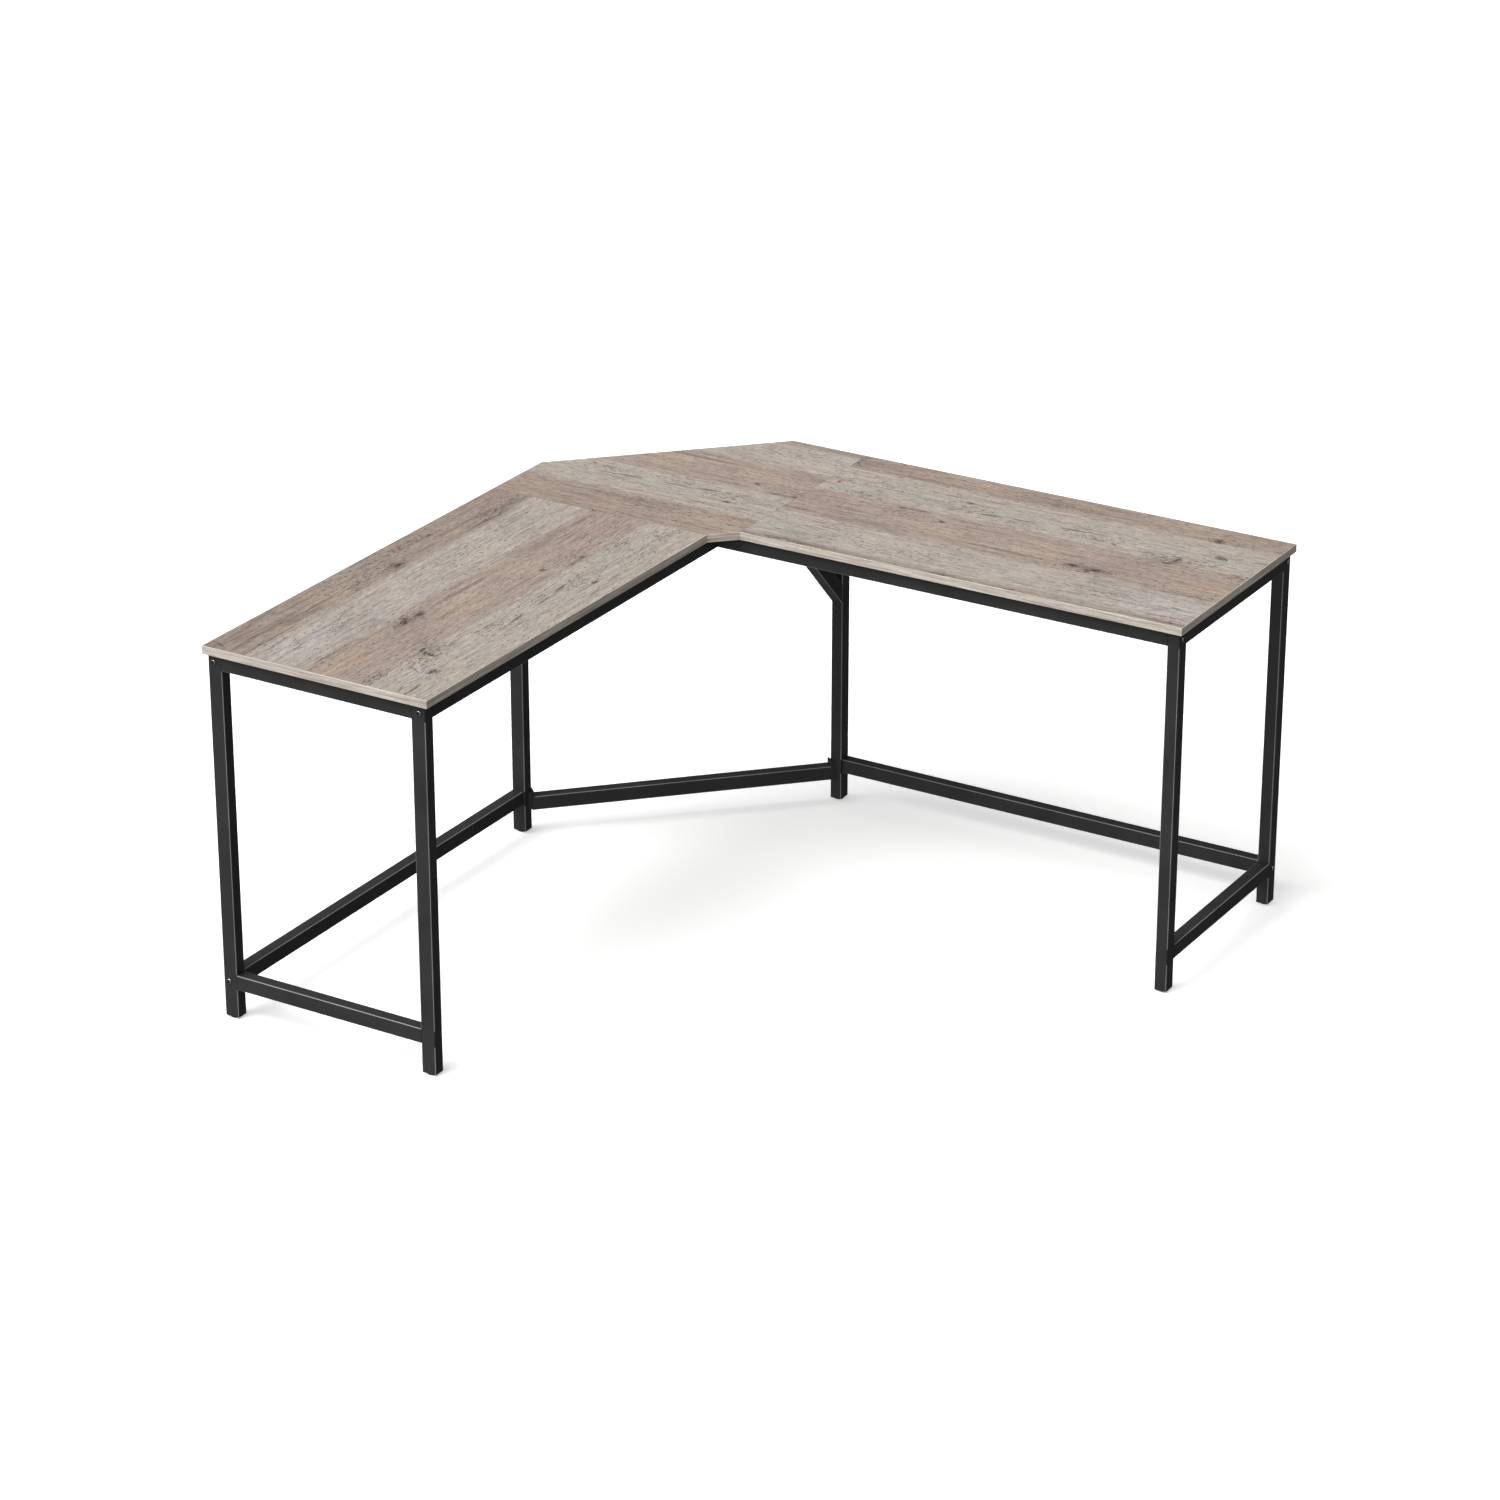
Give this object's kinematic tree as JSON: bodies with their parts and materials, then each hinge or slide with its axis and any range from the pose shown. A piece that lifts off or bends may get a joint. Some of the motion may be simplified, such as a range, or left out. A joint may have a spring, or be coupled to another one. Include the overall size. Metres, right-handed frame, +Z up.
{
  "type": "corner desk",
  "caption": "L-shaped corner desk with a clipped outer corner: grey-beige wood laminate boards on a black rectangular steel tube frame with levelling feet.",
  "frame": {"origin": "on the floor, at the middle of the square footprint that both wings reach across", "axes": "+Z up; the right wing runs along +X at the back (+Y) side, the left wing runs along -Y on the -X side, and the clipped outer corner is at -X +Y"},
  "size_m": [1.48, 1.48, 0.752],
  "materials": {
    "laminate_board": "matt laminate with weathered grey-beige oak grain",
    "edge_band": "satin wood-grain edge band",
    "black_steel": "satin black powder coat",
    "black_bolt": "black zinc plated",
    "zinc_steel": "bright zinc plated",
    "black_plastic": "moulded, fine matt texture"
  },
  "bodies": {
    "frame": {"bracket_bolts": "black_bolt", "corner_edge_band": "edge_band", "corner_panel": "laminate_board", "corner_rail_bolts": "black_bolt", "corner_top_screws": "zinc_steel", "foot_nuts": "zinc_steel", "inner_corner_bracket": "black_steel", "left_arm": "black_steel", "left_arm_bracket": "black_steel", "left_back_lower_rail": "black_steel", "left_back_top_rail": "black_steel", "left_brace": "black_steel", "left_edge_band": "edge_band", "left_end_back_leg": "black_steel", "left_end_front_leg": "black_steel", "left_end_lower_rail": "black_steel", "left_end_top_rail": "black_steel", "left_frame_bolts": "black_bolt", "left_front_rail": "black_steel", "left_lower_corner_seat": "black_steel", "left_mid_leg": "black_steel", "left_panel": "laminate_board", "left_top_screws": "zinc_steel", "left_upper_corner_seat": "black_steel", "leg_plugs": "black_plastic", "lower_corner_rail": "black_steel", "rail_end_blocks": "zinc_steel", "right_arm": "black_steel", "right_arm_bracket": "black_steel", "right_back_lower_rail": "black_steel", "right_back_top_rail": "black_steel", "right_brace": "black_steel", "right_edge_band": "edge_band", "right_end_back_leg": "black_steel", "right_end_front_leg": "black_steel", "right_end_lower_rail": "black_steel", "right_end_top_rail": "black_steel", "right_frame_bolts": "black_bolt", "right_front_rail": "black_steel", "right_lower_corner_seat": "black_steel", "right_mid_leg": "black_steel", "right_panel": "laminate_board", "right_top_screws": "zinc_steel", "right_upper_corner_seat": "black_steel", "seam_plates": "zinc_steel", "seam_screws": "zinc_steel", "upper_corner_rail": "black_steel"},
    "left_front_foot": {"left_foot_pad_front": "black_plastic", "left_foot_stem_front": "zinc_steel"},
    "left_back_foot": {"left_foot_pad_back": "black_plastic", "left_foot_stem_back": "zinc_steel"},
    "left_mid_foot": {"left_foot_pad_mid": "black_plastic", "left_foot_stem_mid": "zinc_steel"},
    "right_front_foot": {"right_foot_pad_front": "black_plastic", "right_foot_stem_front": "zinc_steel"},
    "right_back_foot": {"right_foot_pad_back": "black_plastic", "right_foot_stem_back": "zinc_steel"},
    "right_mid_foot": {"right_foot_pad_mid": "black_plastic", "right_foot_stem_mid": "zinc_steel"}
  },
  "joints": [
    {"name": "left_front_foot_height", "type": "slide", "parent": "frame", "child": "left_front_foot", "axis": [0, 0, -1], "range_m": [0, 0.01]},
    {"name": "left_back_foot_height", "type": "slide", "parent": "frame", "child": "left_back_foot", "axis": [0, 0, -1], "range_m": [0, 0.01]},
    {"name": "left_mid_foot_height", "type": "slide", "parent": "frame", "child": "left_mid_foot", "axis": [0, 0, -1], "range_m": [0, 0.01]},
    {"name": "right_front_foot_height", "type": "slide", "parent": "frame", "child": "right_front_foot", "axis": [0, 0, -1], "range_m": [0, 0.01]},
    {"name": "right_back_foot_height", "type": "slide", "parent": "frame", "child": "right_back_foot", "axis": [0, 0, -1], "range_m": [0, 0.01]},
    {"name": "right_mid_foot_height", "type": "slide", "parent": "frame", "child": "right_mid_foot", "axis": [0, 0, -1], "range_m": [0, 0.01]}
  ]
}
